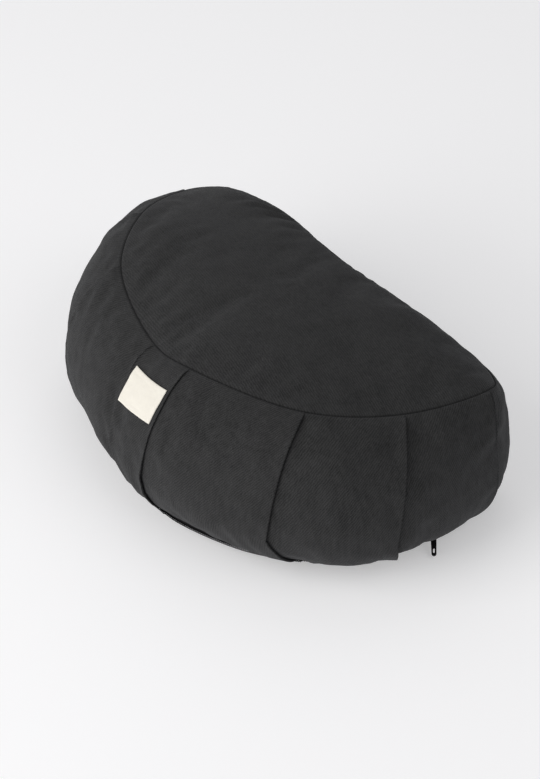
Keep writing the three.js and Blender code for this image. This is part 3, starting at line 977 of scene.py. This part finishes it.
def label_cloth(weave):
    """Plain woven cream cotton with faint stains."""
    material, n, shader = new_material("label_cloth")
    height, solid = woven(n, weave, LABEL_WEAVE)
    tone = n.math("MULTIPLY_ADD", height, LABEL_THREAD_TONE, 1.0)
    spots = n.noise(solid, scale=160.0, detail=3.0, roughness=0.6)
    stain = n.spread(spots, low=0.3, high=0.7, to_low=-STAIN_TONE, to_high=STAIN_TONE)
    tone = n.math("ADD", tone, stain)
    finish_cloth(n, shader, CREAM, tone, height, strength=0.25, distance=0.1 * MM)
    shader.inputs["Roughness"].default_value = 0.85
    shader.inputs["Specular IOR Level"].default_value = 0.2
    shader.inputs["Sheen Weight"].default_value = 0.1
    return material


def plain_material(name, colour, roughness, specular=0.5, coat=0.0):
    material, _, shader = new_material(name)
    shader.inputs["Base Color"].default_value = (*colour, 1)
    shader.inputs["Roughness"].default_value = roughness
    shader.inputs["Specular IOR Level"].default_value = specular
    shader.inputs["Coat Weight"].default_value = coat
    shader.inputs["Coat Roughness"].default_value = 0.05
    return material


def smooth_piece(name, mesh):
    """A piece of a mesh with smooth shading."""
    mesh.polygons.foreach_set("use_smooth", np.ones(len(mesh.polygons), bool))
    mesh.update()
    piece = bpy.data.objects.new(name, mesh)
    bpy.context.scene.collection.objects.link(piece)
    return piece


def finished(piece):
    """Makes a piece's modifiers, or its curve, part of its mesh."""
    depsgraph = bpy.context.evaluated_depsgraph_get()
    mesh = bpy.data.meshes.new_from_object(piece.evaluated_get(depsgraph))
    name = piece.name
    bpy.data.objects.remove(piece)
    made = bpy.data.objects.new(name, mesh)
    bpy.context.scene.collection.objects.link(made)
    return made


def label_sides():
    """The label's upper and lower points, and their flat places, in rows from its upper edge down."""
    u = np.linspace(0, 1, LABEL_COLUMNS)
    v = np.linspace(0, 1, LABEL_ROWS)
    upper_edge = LABEL_CORNERS[0] + (LABEL_CORNERS[1] - LABEL_CORNERS[0]) * u[:, None]
    lower_edge = LABEL_CORNERS[3] + (LABEL_CORNERS[2] - LABEL_CORNERS[3]) * u[:, None]
    spots = upper_edge[None] + (lower_edge - upper_edge)[None] * v[:, None, None]
    t = spots[..., 0]
    down = spots[..., 1]
    points, normals = wall_surface(t, down)
    across, downward = np.meshgrid(u, v)
    from_side = np.minimum(across, 1 - across) * LABEL_WIDTH
    from_end = np.minimum(downward, 1 - downward) * LABEL_HEIGHT
    from_edge = np.minimum(from_side, from_end)
    inside_hem = smoothstep(from_edge, HEM_WIDTH, HEM_WIDTH + HEM_SLOPE)
    unevenness = waves(np.stack([t * 40, down * 100], -1), count=8, shortest=8, longest=24, seed=21)
    lift = LABEL_GAP + LABEL_THICKNESS + HEM_THICKNESS * (1 - inside_hem)
    lift += LABEL_WAVE * unevenness - EDGE_DROP * (1 - smoothstep(from_edge, 0, EDGE_ROUND))
    flat = np.stack([across * LABEL_WIDTH, downward * LABEL_HEIGHT], -1)
    return points + normals * lift[..., None], points + normals * LABEL_GAP, flat


def make_label():
    """The label: a bent sheet of cream cotton with its edges turned under."""
    upper, lower, flat = label_sides()
    rows, columns, _ = upper.shape
    size = rows * columns
    faces = []
    for r in range(rows - 1):
        for c in range(columns - 1):
            a = r * columns + c
            b = a + columns
            faces.append([a, b, b + 1, a + 1])
            faces.append([size + a, size + a + 1, size + b + 1, size + b])
    edge = list(range(columns))
    edge += [r * columns + columns - 1 for r in range(1, rows)]
    edge += [(rows - 1) * columns + c for c in range(columns - 2, -1, -1)]
    edge += [r * columns for r in range(rows - 2, 0, -1)]
    for a, b in zip(edge, edge[1:] + edge[:1]):
        faces.append([a, b, size + b, size + a])
    points = (np.concatenate([upper.reshape(-1, 3), lower.reshape(-1, 3)]) - MIDDLE) * MM
    mesh = bpy.data.meshes.new("sewn_label")
    mesh.from_pydata(points.tolist(), [], faces)
    place = np.concatenate([flat.reshape(-1, 2), flat.reshape(-1, 2)]) * MM
    index = np.zeros(len(mesh.loops), int)
    mesh.loops.foreach_get("vertex_index", index)
    layer = mesh.uv_layers.new(name="cloth")
    layer.data.foreach_set("uv", place[index].ravel())
    return smooth_piece("sewn_label", mesh)


def copy_of_node(node, name, width):
    """A merged copy of a CAD node's mesh with its edges rounded to a width, to stand for that node."""
    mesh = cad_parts[node].data.copy()
    mesh.materials.clear()
    shape = bmesh.new()
    shape.from_mesh(mesh)
    bmesh.ops.remove_doubles(shape, verts=shape.verts, dist=MM / 1000)
    flat_angle = math.radians(3)
    bmesh.ops.dissolve_limit(shape, angle_limit=flat_angle, verts=shape.verts, edges=shape.edges)
    shape.to_mesh(mesh)
    shape.free()
    piece = smooth_piece(name, mesh)
    rounding = piece.modifiers.new("rounding", "BEVEL")
    rounding.width = width * MM
    rounding.segments = 2
    rounding.limit_method = "ANGLE"
    piece = finished(piece)
    piece.data.polygons.foreach_set("use_smooth", np.ones(len(piece.data.polygons), bool))
    piece.data.set_sharp_from_angle(angle=math.radians(50))
    return piece


def lower_seam(t):
    """The lower seam, and the directions out of the cover and across the seam towards the base."""
    points, normals = plain_wall(t, 2.0)
    at = points + normals * ((tuck(t, 2.0) + puff(t, 2.0)) * sewn(2.0))[..., None]
    lean = closed_spline(LEAN, t, False)
    out = outward(t + lean[..., 0] + lean[..., 1])
    down = np.full(out.shape[:-1] + (1,), -1.0)
    normal = np.concatenate([out * math.cos(SEAM_SLOPE), down * math.sin(SEAM_SLOPE)], -1)
    across = np.concatenate([-out * math.sin(SEAM_SLOPE), down * math.cos(SEAM_SLOPE)], -1)
    return at, normal, across


def add_tape(shape, at, normal, across, stand):
    """Adds the zip's tape to a shape, and the narrow fold of it that goes down into the seam."""
    foot = np.full(len(stand), TAPE_FOOT)
    underside = stand - TAPE_THICKNESS
    for width, low, high in ((TAPE_WIDTH, underside, stand), (TAPE_FOLD, foot, underside)):
        rings = []
        for k in range(0, len(at), COIL_STEPS // 2):
            ring = []
            for side, level in ((-1, low[k]), (1, low[k]), (1, high[k]), (-1, high[k])):
                spot = at[k] + across[k] * side * width / 2 + normal[k] * level
                ring.append(shape.verts.new((spot - MIDDLE) * MM))
            rings.append(ring)
        for ring, following in zip(rings, rings[1:]):
            for c in range(4):
                shape.faces.new((ring[c], ring[c - 1], following[c - 1], following[c]))
        shape.faces.new(rings[0])
        shape.faces.new(rings[-1][::-1])


def make_strand(strand):
    """A thin round strand through a line of points."""
    curve = bpy.data.curves.new("zip_strand", "CURVE")
    curve.dimensions = "3D"
    curve.bevel_depth = STRAND_RADIUS * MM
    curve.bevel_resolution = 1
    curve.use_fill_caps = True
    spline = curve.splines.new("POLY")
    spline.points.add(len(strand) - 1)
    local = (strand - MIDDLE) * MM
    spline.points.foreach_set("co", np.concatenate([local, np.ones((len(local), 1))], -1).ravel())
    winding = bpy.data.objects.new("zip_winding", curve)
    bpy.context.scene.collection.objects.link(winding)
    return finished(winding)


def make_coil():
    """The closed zip: one winding nylon strand on a woven tape, along the lower seam."""
    t = np.linspace(COIL_START, COIL_END, 1200)
    lines = lower_seam(t)
    run = np.concatenate([[0], np.cumsum(np.linalg.norm(np.diff(lines[0], axis=0), axis=1))])
    place = np.arange(0, run[-1], COIL_PITCH / COIL_STEPS)
    turn = 2 * np.pi * place / COIL_PITCH
    along = np.interp(place, run, t)
    at, normal, across = (
        np.stack([np.interp(place, run, axis) for axis in line.T], -1) for line in lines
    )
    # Where the zip shows, it is pushed out of the seam a little, tape and all.
    start, full, closing, closed = COIL_SHOWN
    shown = smoothstep(along, start, full) * (1 - smoothstep(along, closing, closed))
    stand = COIL_STAND + COIL_RISE * shown
    rise = stand + COIL_HEIGHT / 2 * (1 + np.sin(turn))
    aside = COIL_WIDTH / 2 * np.cos(turn)
    winding = make_strand(at + normal * rise[:, None] - across * aside[:, None])
    shape = bmesh.new()
    shape.from_mesh(winding.data)
    add_tape(shape, at, normal, across, stand)
    bmesh.ops.recalc_face_normals(shape, faces=shape.faces)
    shape.to_mesh(winding.data)
    shape.free()
    winding.data.polygons.foreach_set("use_smooth", np.ones(len(winding.data.polygons), bool))
    winding.data.set_sharp_from_angle(angle=math.radians(40))
    return winding


def point_values(mesh, name):
    """The places or the normals of a mesh's points, as rows."""
    values = np.zeros(len(mesh.vertices) * 3)
    mesh.vertices.foreach_get(name, values)
    return values.reshape(-1, 3)


def tree_of(points):
    tree = kdtree.KDTree(len(points))
    for k, point in enumerate(points):
        tree.insert(point, k)
    tree.balance()
    return tree


def pressed_by_filling(coarse, held):
    """Lets the filling press the coarse cloth, held where it is said, and returns its points."""
    pins = coarse.vertex_groups.new(name="held")
    for k, weight in enumerate(held):
        pins.add([k], float(weight), "REPLACE")
    cloth = coarse.modifiers.new("filling", "CLOTH")
    cloth.settings.quality = CLOTH_QUALITY
    cloth.settings.mass = CLOTH_MASS
    cloth.settings.tension_stiffness = CLOTH_STIFFNESS
    cloth.settings.compression_stiffness = CLOTH_STIFFNESS
    cloth.settings.bending_stiffness = CLOTH_BENDING
    cloth.settings.use_pressure = True
    cloth.settings.uniform_pressure_force = FILLING_PRESSURE
    cloth.settings.shrink_min = -SPARE_CLOTH
    cloth.settings.vertex_group_mass = "held"
    cloth.settings.effector_weights.gravity = 0
    cloth.point_cache.frame_start = 1
    cloth.point_cache.frame_end = SWELL_FRAMES
    for step in range(1, SWELL_FRAMES + 1):
        bpy.context.scene.frame_set(step)
    depsgraph = bpy.context.evaluated_depsgraph_get()
    pressed = point_values(coarse.evaluated_get(depsgraph).data, "co")
    bpy.context.scene.frame_set(1)
    return pressed


def swell_cover(cover, held):
    """Moves the cover's points as the filling presses a coarse copy of it, where they aren't held."""
    coarse = bpy.data.objects.new("coarse_cover", cover.data.copy())
    bpy.context.scene.collection.objects.link(coarse)
    remesh = coarse.modifiers.new("remesh", "REMESH")
    remesh.mode = "VOXEL"
    remesh.voxel_size = VOXEL * MM
    coarse = finished(coarse)
    rest = point_values(coarse.data, "co")
    normals = point_values(coarse.data, "normal")
    points = point_values(cover.data, "co")
    fine = tree_of(points)
    coarse_held = np.array([held[fine.find(point)[1]] for point in rest])
    pressed = pressed_by_filling(coarse, coarse_held)
    bpy.data.objects.remove(coarse)

    # The shape already has its fullness, so only how the swelling differs from its mean is kept.
    swell = ((pressed - rest) * normals).sum(-1)
    tree = tree_of(rest)
    around = np.array([
        swell[[index for _, index, _ in tree.find_range(point, SWELL_REACH * MM)]].mean()
        for point in rest
    ])
    limit = SWELL_LIMIT * MM
    height = limit * np.tanh((swell - around) * (1 - coarse_held) / limit)
    move = normals * height[:, None]
    for k, point in enumerate(points.copy()):
        near = tree.find_n(point, SWELL_NEAR)
        share = np.array([1 / (distance + VOXEL * MM / 2) ** 2 for _, _, distance in near])
        moved = move[[index for _, index, _ in near]] * share[:, None]
        points[k] += moved.sum(0) / share.sum()
    cover.data.vertices.foreach_set("co", points.ravel())
    cover.data.update()


def dress(piece, node, material):
    """Gives a piece its material, hangs it under the root body, and hides the CAD node that it stands
    for.
    """
    piece.data.materials.clear()
    piece.data.materials.append(material)
    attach(piece, "root")
    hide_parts(node)


def make_floor():
    """The pale floor, which glows a little so that it is as bright as the photograph's."""
    bpy.ops.object.select_all(action="DESELECT")
    bpy.ops.mesh.primitive_plane_add(size=FLOOR_SIZE, location=(0, 0, 0))
    floor = bpy.context.object
    floor.name = "studio_floor"
    paper = plain_material("studio_paper", PALE_PAPER, roughness=0.9, specular=0.1)
    shader = paper.node_tree.nodes["Principled BSDF"]
    shader.inputs["Emission Color"].default_value = (1, 0.995, 1, 1)
    shader.inputs["Emission Strength"].default_value = PAPER_GLOW
    floor.data.materials.append(paper)
    return floor


def make_world():
    world = bpy.data.worlds.new("pale_studio")
    bpy.context.scene.world = world
    world.use_nodes = True
    background = world.node_tree.nodes["Background"]
    background.inputs["Color"].default_value = (0.97, 0.98, 1.0, 1)
    background.inputs["Strength"].default_value = WORLD_LIGHT


def make_light(name, turn, height, power):
    """A large soft light that stands round the cushion and shines at it."""
    light = bpy.data.lights.new(name, "AREA")
    light.shape = "RECTANGLE"
    light.size = LIGHT_SIZE
    light.size_y = LIGHT_SIZE
    light.energy = power
    light.color = (1.0, 0.99, 0.97)
    turn = math.radians(turn)
    height = math.radians(height)
    lamp = bpy.data.objects.new(name, light)
    bpy.context.scene.collection.objects.link(lamp)
    lamp.location = LIGHT_DISTANCE * Vector((
        math.cos(height) * math.cos(turn),
        math.cos(height) * math.sin(turn),
        math.sin(height),
    ))
    lamp.rotation_mode = "QUATERNION"
    lamp.rotation_quaternion = (LIGHT_AIM - lamp.location).to_track_quat("-Z", "Y")


def make_camera():
    back = Vector((
        math.sin(AZIMUTH) * math.cos(ELEVATION),
        -math.cos(AZIMUTH) * math.cos(ELEVATION),
        math.sin(ELEVATION),
    ))
    lens = bpy.data.cameras.new("camera")
    lens.sensor_width = SENSOR_WIDTH
    lens.lens = FOCAL_PIXELS / FRAME_HEIGHT * SENSOR_WIDTH
    camera = bpy.data.objects.new("camera", lens)
    bpy.context.scene.collection.objects.link(camera)
    camera.location = TARGET + back * DISTANCE
    camera.rotation_mode = "QUATERNION"
    camera.rotation_quaternion = (-back).to_track_quat("-Z", "Y")
    bpy.context.scene.camera = camera


weave = weave_group()
twill = charcoal_twill(weave)
cream = label_cloth(weave)
nylon = plain_material("coil_plastic", NYLON_BLACK, roughness=0.6, specular=0.15)
enamel = plain_material("black_metal", ENAMEL_BLACK, roughness=0.22, coat=0.6)

grid = build_cover_grid()
cover = make_cover(grid)
swell_cover(cover, held_by_sewing(grid))
dress(cover, "cover", twill)

label = make_label()
dress(label, "label", cream)

coil = make_coil()
slider = copy_of_node("zip_slider", "rounded_slider", SLIDER_ROUNDING)
puller = copy_of_node("zip_puller", "rounded_puller", PULLER_ROUNDING)
dress(coil, "zip_coil", nylon)
dress(slider, "zip_slider", enamel)
dress(puller, "zip_puller", enamel)

make_floor()
make_world()
for name, (turn, height, power) in LIGHTS.items():
    make_light(name, turn, height, power)
make_camera()
bpy.context.scene.view_settings.view_transform = "Standard"
bpy.context.scene.view_settings.look = "None"
